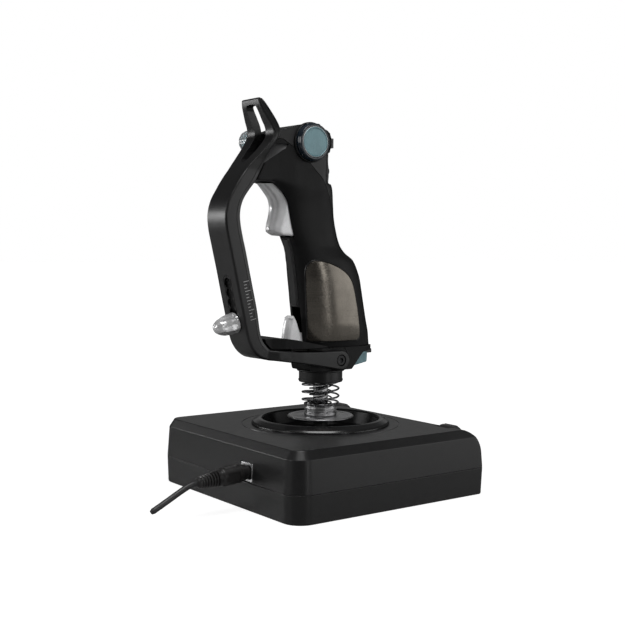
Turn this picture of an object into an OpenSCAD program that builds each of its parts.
// Flight joystick: a square weighted base with a two-axis gimbal, a sprung centring
// seat around a polished shaft, and a twisting hand grip with a loop-shaped guard.
// Millimetres. Origin on the base's flat underside, directly under the shaft's
// vertical axis, +Z up, +Y away from the user, +X to the user's right.

/* [Base] */
// Width of the base, left to right
base_w = 180; // [176:1:190]
// Depth of the base, front to back
base_d = 170; // [168:1:176]
// Height of the base's flat top above the datum, which is 2 mm below the underside
base_top_z = 50.4; // [50:0.1:51]
// Height of the parting seam between the two base shells, from the same datum
seam_z = 21.8; // [20:0.1:22]
// Wall thickness of the base shells
wall = 3; // [2.5:0.1:3.4]
// Thickness of the rubber pads let into the underside
pad_h = 1.5; // [1:0.1:2]

/* [Dish ring and seat] */
// Radius of the dish ring's opening
dish_r = 44.5; // [43:0.1:45]
// Outer radius of the dish ring
dish_outer_r = 51.9; // [50:0.1:54]
// Radius of the centring seat disc
seat_r = 24.9; // [22:0.1:26]
// Radius of the spring cup above the seat
cup_r = 12.2; // [11.6:0.1:12.8]

/* [Shaft and springs] */
// Radius of the polished shaft
shaft_r = 5.6; // [5.2:0.1:5.8]
// Outer radius of the outer spring
spring_r = 14.4; // [14:0.1:14.6]
// Wire radius of the outer spring
wire_r = 0.75; // [0.6:0.05:0.9]
// Outer radius of the inner spring
inner_spring_r = 8.7; // [8.2:0.1:9]
// Radius of the collar under the grip
collar_r = 16.4; // [16:0.1:18]

/* [Guard] */
// Half width of the guard bar
guard_hw = 13; // [12.5:0.1:13.5]
// Travel of the hand rest along the guard
rest_travel = 28.5; // [20:0.5:28.5]
// Number of clamp positions in the slot
rest_stops = 5; // [4:1:6]

/* [Head] */
// Radius of the round badge cap on the left side
badge_r = 10.7; // [9:0.1:10.8]
// Radius of the mode dial
dial_r = 8.5; // [7:0.1:9]

/* [Hidden] */
$fn = 48;

// Heights in this file count from the datum, this far below the underside
datum = 2;
half_w = base_w / 2;
base_mid_y = 2;
front_y = base_mid_y + base_d / 2;    // wall away from the user
user_y = base_mid_y - base_d / 2;     // wall nearest the user

// Axes along X are placed by [y, z], axes along Y by [x, z]
gimbal_z = 24;
gimbal_axis = [0, gimbal_z];          // serves both gimbal axes, which cross here
toggle_axis = [-70, 43.6];
toggle_x = [-66, 66];
socket_axis = [-31.25, 28.8];
arm_axis = [-4.3, 99];                // screws that hold the guard's arms
trigger_axis = [38, 222.5];
pinkie_axis = [17, 116];
badge_axis = [23, 257.4];
dial_axis = [46, 259.4];
hat_x = 4;
upper_hat_z = 260;
lower_hat_z = 226;
button_x = [2, 11];
button_z = 239;

// ---- helpers -------------------------------------------------------------
// Brings the base's underside to the origin
module drop() { translate([0, 0, -datum]) children(); }
function unit(v) = v / norm(v);
function sign_of(v) = v < 0 ? -1 : 1;
// Ranges are [low, high]
function span(mid, half) = [mid - half, mid + half];
// Range between two distances from zero, on the side given by dir, -1 or 1
function outward(dir, inner, outer) = dir > 0 ? [inner, outer] : [-outer, -inner];
// Point at an angle on a superellipse
function superellipse(angle, half_y, half_x, power = 2.3) = [
  half_x * sign_of(cos(angle)) * pow(abs(cos(angle)), 2 / power),
  half_y * sign_of(sin(angle)) * pow(abs(sin(angle)), 2 / power)];

// Side profiles are drawn as [y, z] and swept along X, to both sides
module sweep_x(half) {
  rotate([90, 0, 90]) translate([0, 0, -half]) linear_extrude(2 * half) children();
}
// Front profiles are drawn as [x, z] and swept along Y
module sweep_y(y) {
  translate([0, y[1], 0]) rotate([90, 0, 0]) linear_extrude(y[1] - y[0]) children();
}
// Outline from its right half, mirrored across x = 0
module mirrored_polygon(half) {
  polygon(concat(half,
    [for (i = [len(half) - 1 : -1 : 0]) if (half[i][0] != 0) [-half[i][0], half[i][1]]]));
}
// Rods and boxes take ranges along their axes
module rod_x(x, r, at) {
  translate([x[0], at[0], at[1]]) rotate([0, 90, 0]) cylinder(h = x[1] - x[0], r = r);
}
module rod_y(y, r, at) {
  translate([at[0], y[1], at[1]]) rotate([90, 0, 0]) cylinder(h = y[1] - y[0], r = r);
}
module rod_z(z, r, at = [0, 0]) {
  translate([at[0], at[1], z[0]]) cylinder(h = z[1] - z[0], r = r);
}
module box(x, y, z) {
  translate([x[0], y[0], z[0]]) cube([x[1] - x[0], y[1] - y[0], z[1] - z[0]]);
}

// Faces that skin and cap a stack of rings with n points each
function tube_faces(rings, n) =
  let (top = (rings - 1) * n)
  concat(
    [for (i = [0 : rings - 2]) for (k = [0 : n - 1])
      let (a = i * n + k, b = i * n + (k + 1) % n)
      each [[a, b, b + n], [a, b + n, a + n]]],
    [for (k = [1 : n - 2]) each [[0, k + 1, k], [top, top + k, top + k + 1]]]);
// Round wire or cable along a path; refs gives a sideways direction at each point
module wire(path, refs, r, n = 8) {
  last = len(path) - 1;
  tangents = [for (i = [0 : last]) unit(path[min(i + 1, last)] - path[max(i - 1, 0)])];
  points = [for (i = [0 : last])
    let (across = unit(cross(tangents[i], refs[i])), out = cross(across, tangents[i]))
    for (k = [0 : n - 1]) path[i] + r * (cos(360 * k / n) * out + sin(360 * k / n) * across)];
  polyhedron(points = points, faces = tube_faces(last + 1, n), convexity = 10);
}

// ---- base ----------------------------------------------------------------
seam_gap = 0.15;
back_round_r = 18.6;                  // top edge on the user's side
toggle_pin_r = 1.5;
pad_r = 8;
board_seat_z = 20.6;

// Body profile seen from the side, [y, z]
function base_side() = concat(
  [[front_y - 0.7, datum], [front_y, seam_z], [front_y - 1.6, base_top_z - 5.8],
   [front_y - 5.5, base_top_z]],
  [for (a = [0 : 10 : 90]) [user_y + 19 - back_round_r * sin(a),
                            base_top_z - back_round_r + back_round_r * cos(a)]],
  [[user_y, seam_z], [user_y + 0.7, datum]]);
// Rectangle with its near corners rounded by near_r and its far ones by far_r
module corner_rect(x, y0, y1, near_r, far_r) {
  for (s = [-1, 1]) {
    translate([s * (x - far_r), y1 - far_r]) circle(far_r);
    translate([s * (x - near_r), y0 + near_r]) circle(near_r);
  }
  mirrored_polygon([[x - far_r, y1], [x, y1 - far_r], [x, y0 + near_r], [x - near_r, y0]]);
}
module base_solid() {
  intersection() {
    linear_extrude(70) corner_rect(half_w + 0.05, user_y - 0.05, front_y + 0.05, 3, 14.4);
    sweep_x(half_w + 5) polygon(base_side());
    sweep_y([user_y - 5, front_y + 5]) mirrored_polygon([[half_w - 0.7, datum],
      [half_w, seam_z], [half_w - 1.6, base_top_z - 5.8], [half_w - 5.5, base_top_z]]);
  }
}
module base_hollow() {
  inset = wall + 0.6;
  intersection() {
    translate([0, 0, datum + wall]) linear_extrude(70)
      corner_rect(half_w - inset, user_y + inset, front_y - inset, 3, 11);
    sweep_x(half_w) polygon([[front_y, 0], [front_y, base_top_z - 8],
      [front_y - 9, base_top_z - wall], [user_y + 18, base_top_z - wall],
      [user_y + 4, base_top_z - 17.5], [user_y, 0]]);
    sweep_y([user_y, front_y]) mirrored_polygon([[half_w, 0], [half_w, base_top_z - 8],
      [half_w - 9, base_top_z - wall]]);
  }
}
// The part of the hollow body between two heights
module base_shell(z) {
  difference() {
    intersection() {
      base_solid();
      box(span(0, half_w + 1), [user_y - 1, front_y + 1], z);
    }
    base_hollow();
  }
}
module corner_spots(inset_x, inset_y) {
  for (x = span(0, half_w - inset_x), y = [user_y + inset_y, front_y - inset_y])
    translate([x, y, 0]) children();
}
module boss_spots() { corner_spots(16, 17) children(); }
module pad_spots() { corner_spots(18, 34) children(); }
module board_spots() {
  for (x = [-55, 15], y = [front_y - 33, front_y - 10]) translate([x, y, 0]) children();
}

module base_bottom() {
  color([0.10, 0.10, 0.10]) drop() difference() {
    union() {
      base_shell([0, seam_z]);
      boss_spots() rod_z([datum + 1, seam_z], 5.5);
      board_spots() rod_z([4, board_seat_z], 3);
    }
    boss_spots() {
      rod_z([-1, 49], 1.7);
      rod_z([-1, 5.1], 3.5);
    }
    pad_spots() rod_z([datum - 1, datum + pad_h], pad_r + 0.1);
  }
}
module base_top() {
  color([0.11, 0.11, 0.11]) drop() difference() {
    union() {
      base_shell([seam_z + seam_gap, 70]);
      boss_spots() rod_z([seam_z + seam_gap, base_top_z - 3 + seam_gap], 4.6);
      // cheeks that carry the toggles
      for (x = toggle_x, s = [-1, 1])
        box(span(x + s * 9, 1.5), span(toggle_axis[0], 4), [toggle_axis[1] - 4, base_top_z - 2.2]);
    }
    rod_z([30, 70], dish_r + 3.3);
    boss_spots() rod_z([10, 37], 1.56);
    for (x = toggle_x) {
      box(span(x, 7.4), span(toggle_axis[0], 8.2), [toggle_axis[1] - 3.8, 60]);
      rod_x(span(x, 10.6), toggle_pin_r + 0.05, toggle_axis);
    }
    box(span(socket_axis[0], 7.8), [front_y - 12, front_y + 2], [seam_z - 1, 35.8]);
  }
}
// Turned profiles are [radius, z]
module dish_ring() {
  color([0.06, 0.06, 0.06]) drop() rotate_extrude() polygon([
    [15, 39.6], [dish_r - 1, 39.6], [dish_r + 3.2, 43.2], [dish_r + 3.2, base_top_z + 0.05],
    [dish_outer_r, base_top_z + 0.05], [dish_outer_r, base_top_z + 0.7],
    [dish_outer_r - 0.8, 52], [dish_r + 2.4, 54.5], [dish_r + 1, 54.95], [dish_r, 54.9],
    [dish_r - 0.9, 53.6], [dish_r - 3, 44.5], [dish_r - 5.5, 42], [15, 42]]);
}
module base_screws() {
  color("silver") drop() boss_spots() difference() {
    union() {
      rod_z([5, 33.15], 1.5);
      rod_z([2.9, 5.05], 3);
    }
    rod_z([2.8, 4.2], 1.4, $fn = 6);
  }
}
module rubber_feet() {
  color([0.05, 0.05, 0.05]) drop() pad_spots() {
    translate([0, 0, datum]) cylinder(h = 0.3, r1 = pad_r - 0.3, r2 = pad_r);
    rod_z([datum + 0.3, datum + pad_h - 0.02], pad_r);
  }
}
module ballast_weights() {
  color([0.45, 0.45, 0.47]) drop() for (s = [-1, 1])
    box(span(s * 63, 13), [-48, 46], [datum + wall + 0.02, 14]);
}

// ---- gimbal --------------------------------------------------------------
pitch_pin_r = 3;
roll_pin_r = 2.5;
module gimbal_cradle() {
  color([0.35, 0.35, 0.37]) drop() difference() {
    union() {
      box(span(0, 44), span(0, 25), [datum + wall + 0.02, 8.2]);
      for (s = [-1, 1]) {
        box(span(s * 34.25, 3.25), span(0, 9), [8, gimbal_z]);
        rod_x(span(s * 34.25, 3.25), 9, gimbal_axis);
      }
    }
    rod_x(span(0, 40), pitch_pin_r + 0.05, gimbal_axis);
  }
}
module gimbal_ring() {
  color([0.55, 0.55, 0.57]) drop() difference() {
    box(span(0, 30), span(0, 22), span(gimbal_z, 7));
    box(span(0, 24), span(0, 17), span(gimbal_z, 8));
    rod_x(span(0, 31), pitch_pin_r + 0.01, gimbal_axis);
    rod_y(span(0, 23), roll_pin_r + 0.05, gimbal_axis);
  }
}
module pitch_pins() {
  color("silver") drop() for (s = [-1, 1]) rod_x(span(s * 31.25, 6.15), pitch_pin_r, gimbal_axis);
}
module sensor_magnet() {
  color([0.3, 0.3, 0.32]) drop() rod_x([37.42, 39.6], 2.9, gimbal_axis);
}
module pitch_sensor() {
  color([0.1, 0.35, 0.15]) drop() {
    box([40.2, 41.6], span(0, 8), [8.25, 32]);
    box([39.85, 40.25], span(0, 2.5), span(gimbal_z, 2.5));
  }
}
module shaft_block() {
  color([0.5, 0.5, 0.52]) drop() difference() {
    box(span(0, 9.5), span(0, 9), span(gimbal_z, 8.5));
    rod_z([18, 38], shaft_r + 0.01);
    for (s = [-1, 1]) rod_y(outward(s, 6.5, 10), roll_pin_r + 0.01, gimbal_axis);
  }
}
module roll_pins() {
  color("silver") drop() for (s = [-1, 1]) rod_y(span(s * 14.2, 7.5), roll_pin_r, gimbal_axis);
}

// ---- shaft and springs ---------------------------------------------------
shaft_tip_r = 5;                      // stepped-down top of the shaft
spring_bottom_z = 64.25;
spring_top_z = 87.45;
inner_wire_r = 0.6;
module stick_shaft() {
  color([0.75, 0.75, 0.77]) drop() difference() {
    union() {
      rod_z([18.02, 89.92], shaft_r);
      rod_z([89.9, 109.4], shaft_tip_r);
    }
    for (s = [-1, 1]) rod_y(outward(s, 5.4, 10), roll_pin_r + 0.02, gimbal_axis);
    rod_z([60, 120], 2);
  }
}
module top_nut() {
  color("silver") drop() difference() {
    rod_z([106.7, 109.2], 8, $fn = 6);
    rod_z([100, 112], shaft_tip_r + 0.02);
  }
}
module twist_collar() {
  color([0.07, 0.07, 0.07]) drop() difference() {
    union() {
      rod_z([82, 90], collar_r);
      rod_z([82.9, 83.9], collar_r + 0.4);
    }
    rod_z([81, spring_top_z + 0.05], collar_r - 1.6);
    rod_z([80, 92], shaft_r + 0.02);
  }
}
// Compression spring with closed ends; the first turns start inward by tail
module coil(outer_r, thick_r, turns, tail) {
  steps = 20 * turns;
  end = 0.16;                         // share of the wire in each closed end
  rise = 0.06;                        // share of the height climbed by each closed end
  height = spring_top_z - spring_bottom_z - 2 * thick_r;
  climb = function(t) t < end ? rise * t / end
    : t > 1 - end ? 1 - rise * (1 - t) / end
    : rise + (1 - 2 * rise) * (t - end) / (1 - 2 * end);
  radius = function(t) outer_r - thick_r - (t < end ? tail * (1 - t / end) : 0);
  path = [for (i = [0 : steps]) let (t = i / steps, a = 360 * turns * t)
    [radius(t) * cos(a), radius(t) * sin(a), spring_bottom_z + thick_r + height * climb(t)]];
  wire(path, [for (p = path) [p[0], p[1], 0]], thick_r);
}
module outer_spring() { color([0.55, 0.55, 0.57]) drop() coil(spring_r, wire_r, 5, 2.2); }
module inner_spring() { color([0.6, 0.6, 0.62]) drop() coil(inner_spring_r, inner_wire_r, 6, 0.2); }
module seat_disc() {
  color([0.62, 0.62, 0.64]) drop() rotate_extrude() polygon([[7.4, 54.95],
    [seat_r - 0.6, 54.95], [seat_r, 55.4], [seat_r, 56], [seat_r - 0.7, 56.55], [7.4, 56.55]]);
}
module spring_cup() {
  color([0.6, 0.6, 0.62]) drop() rotate_extrude() polygon([[shaft_r + 0.06, 54], [7.38, 54],
    [7.38, 56.6], [cup_r - 0.6, 56.6], [cup_r, 57], [cup_r, 59.1], [cup_r - 0.8, 59.4],
    [cup_r - 0.8, 59.8], [cup_r, 60.1], [cup_r, 63], [cup_r - 0.5, 64.2],
    [shaft_r + 0.06, 64.2]]);
}

// ---- grip ----------------------------------------------------------------
bush_r = 7;
arm_screw_r = 2;
trigger_pin_r = 2;
pinkie_pin_r = 1.5;
dial_stem_r = 2.5;
split_gap = 0.04;                     // from each grip half to the middle plane
seam_clearance = 0.05;                // from the head seam to the parts either side

// [height, centre along Y, half depth, half width]
GRIP_STATIONS = [
  [108.5, -10.9, 31.2, 17.8], [113, -10, 31.1, 19], [118.6, -9.2, 30.9, 20],
  [126.4, -7.8, 30.2, 20.5], [134, -6.6, 29.8, 20.5], [142, -5.3, 29.5, 20.5],
  [150, -4.1, 29.1, 20.5], [157.4, -2.9, 28.8, 20.5], [165, -1.1, 28, 20],
  [172.8, 1.7, 26.6, 19], [178, 5.8, 23.4, 17.4], [184, 9.2, 21.4, 15.6],
  [192, 12.5, 21.1, 15], [204, 15.4, 21.3, 15], [218, 17.8, 22.2, 15],
  [230, 26, 29, 16], [240, 28, 32.6, 17]];
// [y, z, x of the head's seat, head height]
GRIP_SCREWS = [[-14, 140, 15, 2], [0, 194, 12, 1.6]];
// Line between the grip halves and the head housing, [y, z]
HEAD_SEAM = [
  [-30, 201], [-4.2, 201], [-1.5, 206], [2, 215.1], [6.2, 223.8], [11.6, 231.9],
  [17.5, 237.4], [24.4, 244], [33.6, 251.5], [40.9, 255.9], [45.4, 259], [49.6, 259]];
// Side profile of the head, [y, z]
HEAD_SIDE = [
  [12, 222], [54, 228.9], [65.6, 229.2], [64.4, 231.9], [62.2, 236.4], [59.8, 242.4],
  [57, 248.5], [53.4, 254.7], [50.4, 259.9], [48.8, 264.4], [36, 268.9], [22, 271.4],
  [0, 271.4], [-2.6, 270], [-2.6, 249.4], [-1.6, 247], [-1.8, 244.4], [-4.4, 242.8],
  [-5, 240], [-5, 234], [-2, 228]];
// Side profile of the hollow in the head, [y, z]
HEAD_HOLLOW_SIDE = [
  [8, 218], [30, 226], [47, 231], [51.5, 234], [47.2, 245], [42.8, 255], [38.5, 263.5],
  [26, 266.4], [4, 266.2], [1.4, 264.5], [1.4, 248], [1, 244.4], [-0.8, 241], [-1, 238],
  [-1.5, 233], [-1.5, 218]];
// Plans are [x, y]
HEAD_HOLLOW_PLAN = [
  [-1, -10], [-1, -1.5], [-7, 3.5], [-12.5, 8.3], [-12.5, 38], [-9, 60], [9, 60],
  [12.5, 38], [12.5, -10]];
HEAD_PLAN = [
  [-2, -10], [-2.47, -4.6], [-9, 1.13], [-17, 8.15], [-17, 36], [-14.4, 48],
  [-guard_hw + 0.2, 68], [guard_hw - 0.2, 68], [14.4, 48], [17, 36], [17, 1], [13.5, -10]];
// Side panel seen from the side, [y, z]
PANEL_SIDE = [
  [19.8, 114], [19.8, 120], [20.6, 130], [21.5, 140], [22.5, 152], [23.5, 165],
  [23, 169.5], [21.2, 172.2], [18.5, 173.4], [13.4, 173.2], [5.4, 171.2], [-3, 167.6],
  [-9.8, 163.1], [-14.4, 157.4], [-17.5, 149], [-20.5, 135.8], [-22.6, 120.8],
  [-22.8, 115], [-20.8, 112.8], [-0.9, 112.6], [18.6, 112.8]];

// The handle is oval, and the neck above it has flatter sides
function squareness(z) = 2.3 + 0.9 * max(0, min(1, (z - 178) / 14));
// Solid through the grip stations, grown outward
module grip_loft(grow = 0) {
  n = 24;
  points = [for (s = GRIP_STATIONS) for (k = [0 : n - 1])
    let (p = superellipse(360 * k / n, s[2] + grow, s[3] + grow, squareness(s[0])))
    [p[0], p[1] + s[1], s[0]]];
  // these rings run the other way round, so each face is turned over
  faces = [for (f = tube_faces(len(GRIP_STATIONS), n)) [f[0], f[2], f[1]]];
  polyhedron(points = points, faces = faces, convexity = 6);
}
// Sloped cut on the head's rear left top corner, moved inward
module corner_cut(inward) {
  translate([-4.18 + 0.66 * inward, -3.1 + 0.75 * inward, 262]) rotate([0, 0, 138.7])
    rotate([28, 0, 0]) translate([-30, 0, -8]) cube([60, 30, 40]);
}
module head_block() {
  difference() {
    intersection() {
      sweep_x(20) polygon(HEAD_SIDE);
      translate([0, 0, 200]) linear_extrude(90) polygon(HEAD_PLAN);
    }
    // recess for the safety cover
    box([-2.3, 18], [2, 25], [cover_z - 1.2, 280]);
    corner_cut(0);
    // pocket behind the guard's fork
    sweep_x(7.6) polygon([[44, 263.5], [70, 263.5], [70, 238], [60, 240.5], [50, 246]]);
  }
}
// Everything above the head seam, with the seam moved up and toward the user
module above_seam(shift) {
  translate([0, -shift, shift]) sweep_x(30)
    polygon(concat(HEAD_SEAM, [[49.6, 300], [-30, 300]]));
}
// Outside of the grip and head, with the handle kept between two heights
module grip_body(z) {
  intersection() {
    grip_loft();
    box(span(0, 40), [-60, 80], z);
  }
  head_block();
}
module grip_cavity() {
  intersection() {
    grip_loft(-2.8);
    box(span(0, 40), span(0, 60), [112, 226]);
  }
  difference() {
    intersection() {
      sweep_x(12.5) polygon(HEAD_HOLLOW_SIDE);
      translate([0, 0, 200]) linear_extrude(90) polygon(HEAD_HOLLOW_PLAN);
    }
    corner_cut(2.6);
  }
}
// Bosses for the grip screws and for the trigger and pinkie pins
module grip_bosses(dir) {
  intersection() {
    union() {
      for (q = GRIP_SCREWS) rod_x(outward(dir, split_gap, 16.5), 4, q);
      rod_x(outward(dir, 9.3, 13.5), 4, trigger_axis);
      rod_x(outward(dir, 5.3, 17), 3.4, pinkie_axis);
    }
    union() {
      intersection() {
        grip_loft(-0.5);
        box(span(0, 40), span(0, 60), [108.6, 224]);
      }
      box(span(0, 14), [30, 50], [215, 232]);
    }
  }
}
module grip_half(dir) {
  color([0.07, 0.07, 0.07]) drop() difference() {
    union() {
      difference() {
        intersection() {
          grip_body([100, 229]);
          box(outward(dir, split_gap, 30), [-60, 80], [100, 280]);
        }
        above_seam(-seam_clearance);
        grip_cavity();
      }
      grip_bosses(dir);
    }
    for (q = GRIP_SCREWS) {
      rod_x([-12, 30], 1.55, q);
      rod_x([q[2], 30], 3.1, q);
    }
    rod_x(span(0, 12.6), trigger_pin_r + 0.02, trigger_axis);
    rod_x(span(0, 9.4), pinkie_pin_r + 0.02, pinkie_axis);
    rod_x([8.1, 30], dial_stem_r + 0.05, dial_axis);
    rod_z([100, 113], 9);
    // slots for the trigger and the pinkie lever
    sweep_x(9.2) polygon([[22, 189.4], [70, 189.4], [70, 228.75], [52, 228.9], [37, 230.4],
      [29, 230], [22, 216]]);
    sweep_x(5.1) polygon([[8, 110.5], [44, 110.5], [44, 138.5], [8, 138.5]]);
  }
}
module grip_left() { grip_half(-1); }
module grip_right() { grip_half(1); }
module grip_screws() {
  color("silver") drop() for (q = GRIP_SCREWS) {
    seat = q[2];
    head_h = q[3];
    difference() {
      union() {
        rod_x([-11, seat], 1.5, q);
        rod_x([seat + 0.02, seat + head_h], 2.9, q);
        // joins the shank to the head
        rod_x([11, seat + 0.1], 1.5, q);
      }
      rod_x([seat + head_h / 2, 20], 1.2, q);
    }
  }
}
module twist_bush() {
  color([0.75, 0.65, 0.35]) drop() difference() {
    rod_z([90.35, 106.35], bush_r);
    rod_z([90, 107], shaft_tip_r + 0.05);
  }
}
module grip_foot() {
  color([0.06, 0.06, 0.06]) drop() difference() {
    union() {
      intersection() {
        sweep_x(15.3) polygon([[21, 108.3], [19.5, 97], [17.5, 91.3], [-17.8, 91.3],
          [-28.8, 104.1], [-38, 104.6], [-42, 106], [-42, 108.3]]);
        linear_extrude(120)
          mirrored_polygon([[11, 21], [15.3, 10], [15.3, -30], [12, -38], [6, -43.6]]);
      }
      rod_z([90.1, 91.4], 17.9);
    }
    rod_z([80, 106.6], bush_r + 0.01);
    rod_z([106.5, 111.5], 9);
    for (s = [-1, 1]) rod_x(span(s * 11.6, 4), arm_screw_r + 0.02, arm_axis);
    // slot for the twist lock
    box(span(0, 5.1), [-60, -11], [94.9, 99.2]);
  }
}
module front_spine() {
  color([0.09, 0.09, 0.09]) drop() difference() {
    intersection() {
      grip_loft(1.4);
      box(span(0, 4.5), [5, 60], [139, 188.5]);
    }
    grip_loft(0.04);
  }
}
module side_panel(dir) {
  color([0.36, 0.33, 0.28]) drop() difference() {
    intersection() {
      grip_loft(0.6);
      translate([dir * 16, 0, 0]) sweep_x(12) polygon(PANEL_SIDE);
    }
    grip_loft(0.03);
  }
}
module side_panel_left() { side_panel(-1); }
module side_panel_right() { side_panel(1); }
module grip_board() { color([0.08, 0.3, 0.14]) drop() box(span(0, 9), [5.6, 7.2], [124, 210]); }

// ---- trigger and pinkie lever --------------------------------------------
module trigger_pin() {
  color("silver") drop() rod_x(span(0, 12.5), trigger_pin_r, trigger_axis);
}
module pinkie_pin() { color("silver") drop() rod_x(span(0, 9.3), pinkie_pin_r, pinkie_axis); }
module trigger_switch() {
  color([0.15, 0.15, 0.16]) drop() difference() {
    box(span(0, 4.5), [13.4, 20.6], [197, 213]);
    for (z = [200, 210]) rod_x(span(0, 5), 1.2, [17, z]);
  }
}
module trigger() {
  color([0.68, 0.68, 0.70]) drop() difference() {
    intersection() {
      sweep_x(8.8) polygon([[57.5, 228.1], [56.1, 227], [51.7, 222.3], [47.4, 216.9],
        [46, 211.4], [46.5, 206], [48.2, 199.2], [48.7, 196.4], [47.4, 193.9], [38.4, 190.6],
        [31.4, 190.9], [29.6, 195], [29.6, 205], [30.4, 214], [32, 220], [33, 226],
        [36.5, 228], [46, 228.2]]);
      linear_extrude(300)
        mirrored_polygon([[8.8, 20], [8.8, 36], [6.4, 42], [3.6, 50], [3.3, 62]]);
    }
    rod_x(span(0, 20), trigger_pin_r + 0.05, trigger_axis);
  }
}
module pinkie_lever() {
  color([0.72, 0.72, 0.74]) drop() difference() {
    union() {
      sweep_x(4.6) polygon([[34.9, 114], [34.7, 118], [34, 122.5], [33, 127], [31.8, 130.4],
        [30.4, 131.8], [28.6, 132], [26.8, 130.8], [25, 127.4], [23.6, 123.4], [22, 119.4],
        [17, 119.4], [17, 112.6], [33.6, 112.9]]);
      rod_x(span(0, 4.6), 3.4, pinkie_axis);
    }
    rod_x(span(0, 10), pinkie_pin_r + 0.05, pinkie_axis);
  }
}

// ---- head ----------------------------------------------------------------
hat_first_y = 4;                      // hat rocker axis along X
hat_second_y = 0.6;                   // hat rocker axis along Z
hat_pivot_r = 0.9;
button_r = 3.4;
fire_at = [7.2, 12];                  // [x, y]
fire_r = 4;
cover_z = 270;
cover_axis = [22.1, cover_z];
cover_pin_r = 0.7;

module hat_ears(z, y0) {
  for (s = [-1, 1]) box(span(hat_x + s * 5.8, 0.8), [y0, 6.2], span(z, 2.4));
}
module head_housing() {
  color([0.07, 0.07, 0.07]) drop() difference() {
    union() {
      difference() {
        intersection() {
          grip_body([150, 230]);
          above_seam(seam_clearance);
        }
        grip_cavity();
        rod_y([-20, -4.2], 7.4, [hat_x, lower_hat_z]);
      }
      hat_ears(upper_hat_z, 0.2);
      intersection() {
        hat_ears(lower_hat_z, -3.4);
        above_seam(seam_clearance);
        grip_loft(-0.6);
      }
      // hinge ears of the safety cover
      for (x = [-2.2, 14.8]) box([x, x + 1.6], [20.4, 23.8], [cover_z - 2.6, cover_z + 1.4]);
      // boss for the dial's stem
      intersection() {
        rod_x([8, 16.6], 4.2, dial_axis);
        above_seam(seam_clearance);
      }
    }
    for (z = [upper_hat_z, lower_hat_z]) {
      rod_y([-20, 1.6], 4.7, [hat_x, z]);
      rod_x(span(hat_x, 6.5), hat_pivot_r + 0.05, [hat_first_y, z]);
    }
    for (x = button_x) {
      rod_y([-20, 2], button_r + 0.05, [x, button_z]);
      rod_y([0.4, 4.5], 4.45, [x, button_z]);
    }
    rod_z([260, 280], fire_r + 0.05, fire_at);
    rod_x([-2.3, 16.5], cover_pin_r + 0.05, cover_axis);
    rod_x([8.1, 30], dial_stem_r + 0.05, dial_axis);
  }
}
module badge_ring() {
  color([0.05, 0.09, 0.14]) drop() difference() {
    union() {
      rod_x([-23.6, -17.02], 13, badge_axis);
      rod_x([-22, -17.02], 13.6, badge_axis);
    }
    rod_x([-25, -21.8], badge_r + 0.15, badge_axis);
  }
}
module badge_cap() { color([0.32, 0.48, 0.53]) drop() rod_x([-23.9, -21.82], badge_r, badge_axis); }
module hat_ring() {
  color([0.08, 0.08, 0.08]) drop() difference() {
    union() {
      rod_y([-4.9, -2.62], 10.3, [hat_x, upper_hat_z]);
      for (a = [45 : 90 : 315])
        rod_y([-5.6, -2.62], 1.6, [hat_x + 8.4 * cos(a), upper_hat_z + 8.4 * sin(a)]);
    }
    rod_y([-6, -2], 6.2, [hat_x, upper_hat_z]);
  }
}
// Two-axis rocker that carries a hat
module hat_cross(z) {
  color([0.5, 0.5, 0.5]) drop() translate([hat_x, 0, 0]) {
    box(span(0, 2.6), [2.8, 5.2], span(z, 3.2));
    rod_x(span(0, 6.2), hat_pivot_r, [hat_first_y, z]);
    for (s = [-1, 1]) box(span(0, 1.6), [-0.7, 3], span(z + s * 2.65, 0.55));
    rod_z(span(z, 3), hat_pivot_r, [0, hat_second_y]);
  }
}
module hat_stem(z, y0) {
  difference() {
    union() {
      rod_z(span(z, 1.9), 1.7, [0, hat_second_y]);
      rod_y([y0, -0.6], 1.5, [0, z]);
    }
    rod_z(span(z, 3), hat_pivot_r + 0.05, [0, hat_second_y]);
    box(span(0, 3), [2.1, 5], span(z, 3));
  }
}
module upper_hat_cross() { hat_cross(upper_hat_z); }
module lower_hat_cross() { hat_cross(lower_hat_z); }
module upper_hat() {
  color([0.1, 0.1, 0.1]) drop() translate([hat_x, 0, 0]) {
    hat_stem(upper_hat_z, -9);
    difference() {
      box(span(0, 3.6), [-11.3, -8.3], span(upper_hat_z, 3.6));
      rod_y([-13, -10.7], 2.4, [0, upper_hat_z]);
    }
  }
}
module lower_hat() {
  color([0.1, 0.1, 0.1]) drop() translate([hat_x, 0, 0]) {
    hat_stem(lower_hat_z, -6);
    difference() {
      rod_y([-8.4, -5.4], 4.4, [0, lower_hat_z]);
      rod_y([-9, -7.8], 2.6, [0, lower_hat_z]);
    }
  }
}
module face_button(x) {
  color([0.13, 0.13, 0.13]) drop() {
    rod_y([-6.6, 1.9], button_r, [x, button_z]);
    rod_y([1.85, 2.9], 4.3, [x, button_z]);
  }
}
module button_left() { face_button(button_x[0]); }
module button_right() { face_button(button_x[1]); }
module fire_button() {
  color([0.45, 0.05, 0.05]) drop() {
    rod_z([261.4, 268.8], fire_r, fire_at);
    rod_z([260.4, 261.6], 5, fire_at);
  }
}
module safety_cover() {
  color([0.2, 0.2, 0.21]) drop() {
    box([0, 14.4], [3, cover_axis[0]], [cover_z - 0.8, cover_z + 0.5]);
    rod_x([0, 14.4], 1.15, cover_axis);
    rod_x([-1.9, 16.1], cover_pin_r, cover_axis);
    for (x = [0, 13.2]) box([x, x + 1.2], [3, 18], [cover_z - 1.1, cover_z - 0.4]);
  }
}
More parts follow.
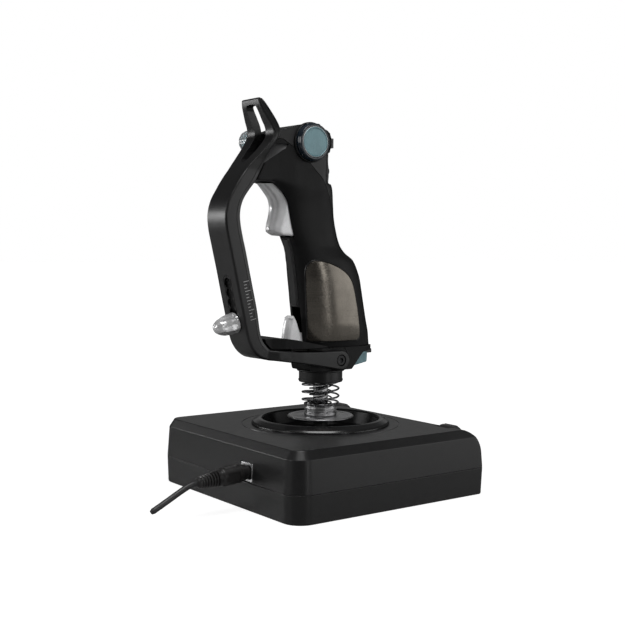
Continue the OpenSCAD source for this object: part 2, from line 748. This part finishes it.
module mode_dial() {
  color([0.75, 0.78, 0.8]) drop() {
    rod_x([19, 29], dial_r, dial_axis);
    translate([29, dial_axis[0], dial_axis[1]]) rotate([0, 90, 0])
      cylinder(h = 3.6, r1 = dial_r, r2 = dial_r - 3.2);
    rod_x([8.2, 19.1], dial_stem_r, dial_axis);
  }
}

// ---- guard ---------------------------------------------------------------
bar_origin = [75.6, 129];             // bar's front face at the clamp, [y, z]
bar_lean = 12.8;                      // forward lean of the bar, degrees
clamp_bolt_r = 2.4;
slot_hw = 2.8;

// Front and back edges of the guard seen from the side, [y, z]
GUARD_FRONT = [
  [63.9, 286.9], [63.4, 284], [62.6, 281], [60.6, 276.5], [58.2, 271.5], [56, 267.5],
  [54.9, 263.5], [55.2, 260], [57.2, 256.8], [61.5, 251.5], [67.5, 245], [73.8, 237.7],
  [80.1, 229.6], [85.1, 221.8], [88.5, 216.1], [90.6, 210.1], [91.5, 204.1], [90.9, 195.8],
  [87.6, 181], [84.1, 166], [80.6, 150.2], [77.4, 136.3], [73.7, 120], [71.2, 113.3],
  [66.8, 107.3], [60.8, 103.2], [52, 101.6]];
GUARD_BACK = [
  [50, 108.8], [54, 109.3], [59.2, 114.3], [61.7, 118.9], [65.2, 138.1], [70, 159.4],
  [74.8, 180.4], [76.9, 188.7], [78.8, 197.7], [79.4, 204.6], [78.5, 210.8], [76.1, 216.4],
  [72, 222.1], [67.8, 227.1], [64.7, 232], [62.4, 236.5], [60, 242.5], [57.2, 248.6],
  [53.6, 254.8], [50.6, 260], [49.2, 264], [49.8, 268], [51.8, 272.8], [55.2, 279],
  [58.8, 284.6], [61, 287.2]];
// Right halves of the bar's outline and of the opening in its fork, [x, z]
FORK = [
  [guard_hw, 100], [guard_hw, 236], [14.6, 244], [17.1, 252], [18.3, 257.5], [18.3, 262],
  [17.2, 266.5], [15, 272], [12.8, 278], [10.8, 284], [9.2, 287.3]];
FORK_HOLE = [
  [0, 241.6], [2.4, 242.2], [4.4, 244.6], [6, 250], [6.8, 256], [7, 262], [7.2, 268],
  [7.2, 274], [6.8, 279], [5.8, 282.2], [0, 282.8]];
// Guard arms: side profile [y, z], and right half of the plan [x, y]
ARM_SIDE = [
  [62, 103.6], [52, 101.6], [24.6, 97.4], [11, 94.8], [-4, 91.5], [-4.3, 106.5],
  [5.7, 106.5], [42.6, 108.2], [54, 109.3], [64, 112]];
ARM_PLAN = [
  [guard_hw - 0.2, 72], [guard_hw - 0.2, 57], [16.5, 49], [19.2, 40], [20, 30], [20, -13],
  [15.6, -13], [15.6, 30], [14.4, 38], [11, 47], [8, 51]];

// Bar frame: local Y is the bar's outward normal, local Z runs up the bar
module on_bar() {
  translate([0, bar_origin[0], bar_origin[1]]) rotate([-bar_lean, 0, 0]) children();
}
module guard_arms() {
  intersection() {
    sweep_x(20) union() {
      polygon(ARM_SIDE);
      translate(arm_axis) circle(7.5);
    }
    translate([0, 0, 80]) linear_extrude(40) mirrored_polygon(ARM_PLAN);
  }
}
// Clamp slot with one shallow pocket for each stop
module clamp_slot() {
  on_bar() {
    box(span(0, slot_hw), [-6, 4], [0, rest_travel]);
    for (z = [0, rest_travel]) rod_y([-6, 4], slot_hw, [0, z]);
    for (i = [0 : rest_stops - 1]) rod_y([-1.4, 4], 4.3, [0, i * rest_travel / (rest_stops - 1)]);
  }
}
module guard() {
  color([0.08, 0.08, 0.08]) drop() difference() {
    union() {
      intersection() {
        sweep_x(20) polygon(concat(GUARD_FRONT, GUARD_BACK));
        sweep_y([20, 120]) mirrored_polygon(FORK);
      }
      guard_arms();
    }
    sweep_y([20, 120]) mirrored_polygon(FORK_HOLE);
    // channel behind the bar for the hand rest's tongue, and the pocket below it
    on_bar() box(span(0, 9.2), [-16, -4.6], [-16.5, rest_travel + 10]);
    sweep_x(9.2) polygon([[48, 109.35], [64.9, 109.35], [67.5, 116], [64, 119], [48, 119]]);
    clamp_slot();
    for (s = [-1, 1]) {
      rod_x(span(s * 18, 4), arm_screw_r + 0.1, arm_axis);
      rod_x(span(s * 20, 2.4), 4.3, arm_axis);
    }
  }
}
module guard_screws() {
  color([0.16, 0.16, 0.17]) drop() for (s = [-1, 1]) difference() {
    union() {
      rod_x(span(s * 13.2, 4.4), arm_screw_r, arm_axis);
      rod_x(span(s * 18.7, 1.05), 4, arm_axis);
    }
    rod_x(span(s * 19.2, 0.8), 1.9, arm_axis, $fn = 6);
  }
}
// Plate around the grip, cut to clear it
module rest_plate() {
  difference() {
    intersection() {
      sweep_x(24) polygon([[10.5, 109.7], [53, 109.7], [57.6, 114.4], [58.6, 117.2],
        [44, 117.2], [34, 115.5], [20, 112.4], [11, 110.4]]);
      translate([0, 0, 100]) linear_extrude(30) mirrored_polygon([[22.8, -5], [22.8, 22],
        [21.4, 32], [17.4, 44], [12.6, 54], [12.4, 62]]);
    }
    translate([0, 0, 100]) linear_extrude(30) polygon(
      [for (a = [0 : 6 : 354]) superellipse(a, 32.9, 21.6) - [0, 10]]);
    box(span(0, 6.6), [0, 42], [100, 130]);
  }
}
module hand_rest() {
  color([0.08, 0.08, 0.08]) drop() difference() {
    union() {
      rest_plate();
      sweep_x(8.6) polygon([[50, 110.3], [63.6, 110.3], [65.6, 114.4], [66, 117.2], [50, 117.2]]);
      on_bar() box(span(0, 8.9), [-10.4, -4.85], [-14.6, 7]);
    }
    on_bar() rod_y(span(0, 15), clamp_bolt_r + 0.02, [0, 0]);
  }
}
module clamp_bolt() {
  color("silver") drop() on_bar() {
    rod_y([-10.5, 13.5], clamp_bolt_r, [0, 0]);
    rod_y([-12.02, -10.42], 4, [0, 0], $fn = 6);
  }
}
module adjuster_knob() {
  color([0.85, 0.85, 0.87]) drop() on_bar() rotate([-90, 0, 0]) difference() {
    rotate_extrude() polygon([[0, 0.35], [7.2, 0.35], [7.5, 1], [7.5, 6.5], [6.9, 10.5],
      [5.6, 14], [3.6, 16.8], [1.4, 18.2], [0, 18.4]]);
    rod_z([-1, 13.8], clamp_bolt_r + 0.05);
    for (a = [30 : 60 : 330]) rotate([0, 0, a]) rod_z([-1, 11], 1.8, [8.6, 0]);
  }
}

// ---- base controls, lock and cable ---------------------------------------
module toggle(x) {
  color([0.09, 0.09, 0.09]) drop() {
    intersection() {
      rod_x(span(x, 7.1), 7.4, toggle_axis);
      box(span(x, 8), span(toggle_axis[0], 8), [toggle_axis[1] - 1.8, 60]);
    }
    translate([x, toggle_axis[0], toggle_axis[1]]) rotate([19, 0, 0])
      box(span(0, 6.4), span(0, 1.3), [6, 8.5]);
    rod_x(span(x, 10.3), toggle_pin_r, toggle_axis);
  }
}
module toggle_left() { toggle(toggle_x[0]); }
module toggle_right() { toggle(toggle_x[1]); }
module twist_lock() {
  color([0.25, 0.42, 0.47]) drop() {
    sweep_x(13) polygon([[-20.2, 93.3], [-30.1, 103.6], [-34.5, 103.6], [-34, 95.8]]);
    box(span(0, 4.95), [-30, -15], [95.1, 98.9]);
    box(span(0, 6), [-44.5, -40.2], [101.6, 105]);
    box(span(0, 3), [-41, -33.6], [101.6, 103.4]);
  }
}
module main_board() {
  color([0.08, 0.3, 0.14]) drop() difference() {
    box([-62, 22], [front_y - 36.5, front_y - 6.7], [board_seat_z + 0.02, 22.2]);
    board_spots() rod_z([0, 40], 1.2);
  }
}
module cable_socket() {
  color([0.72, 0.72, 0.74]) drop() difference() {
    box(span(socket_axis[0], 7.2), [front_y - 19, front_y - 0.9], [22.25, 35.2]);
    rod_y([front_y - 15, front_y + 1], 4.95, socket_axis);
  }
}

plug_droop = 5;                       // degrees
plug_bend_y = front_y + 4.9;          // where the plug starts to droop
// Point at a distance along the drooping part of the plug, [y, z]
function along_plug(d) = [plug_bend_y + d * cos(plug_droop), socket_axis[1] - d * sin(plug_droop)];
module plug() {
  tail_axis = [socket_axis[0], 0];
  color([0.12, 0.12, 0.12]) drop() {
    rod_y([front_y - 12, front_y + 1.2], 4.88, socket_axis);
    rod_y([front_y + 0.2, front_y + 5], 5.4, socket_axis);
    translate([0, plug_bend_y, socket_axis[1]]) rotate([-plug_droop, 0, 0]) difference() {
      union() {
        rod_y([0, 16], 5.9, tail_axis);
        rod_y([15.8, 18.6], 5.2, tail_axis);
        rod_y([18.4, 34], 3, tail_axis);
        // ribs of the strain relief
        for (i = [0 : 6]) rod_y([19.4 + 2 * i, 20.6 + 2 * i], 4.8 - 0.22 * i, tail_axis);
      }
      rod_y([15.8, 36], 1.9, tail_axis);
    }
  }
}
// The cable leaves the strain relief and sags; it is cut off before it reaches the desk
module cable() {
  start = 16;                         // distances along the plug
  straight = 20.24;
  bend = [along_plug(start + straight), along_plug(38) + [4, -0.9],
    [front_y + 53, 20.6], [front_y + 73, 11.4]];
  bezier = function(p, t) pow(1 - t, 3) * p[0] + 3 * t * pow(1 - t, 2) * p[1]
    + 3 * t * t * (1 - t) * p[2] + t * t * t * p[3];
  path = concat(
    [for (i = [0 : 3]) let (p = along_plug(start + straight * i / 4)) [socket_axis[0], p[0], p[1]]],
    [for (i = [0 : 12]) let (t = i / 12, p = bezier(bend, t))
      [socket_axis[0] - 1.2 * pow(t, 2), p[0], p[1]]]);
  color([0.1, 0.1, 0.1]) drop() wire(path, [for (p = path) [1, 0, 0]], 1.85, 10);
}

base_bottom();
base_top();
dish_ring();
base_screws();
rubber_feet();
ballast_weights();
gimbal_cradle();
main_board();
cable_socket();
pitch_sensor();
gimbal_ring();
pitch_pins();
sensor_magnet();
shaft_block();
roll_pins();
stick_shaft();
twist_collar();
outer_spring();
inner_spring();
seat_disc();
spring_cup();
top_nut();
twist_bush();
grip_foot();
grip_left();
grip_right();
grip_screws();
front_spine();
side_panel_left();
side_panel_right();
head_housing();
badge_ring();
badge_cap();
guard();
guard_screws();
grip_board();
trigger_pin();
trigger_switch();
trigger();
pinkie_pin();
pinkie_lever();
hand_rest();
clamp_bolt();
adjuster_knob();
mode_dial();
hat_ring();
upper_hat_cross();
upper_hat();
lower_hat_cross();
lower_hat();
fire_button();
safety_cover();
button_left();
button_right();
toggle_left();
toggle_right();
twist_lock();
plug();
cable();
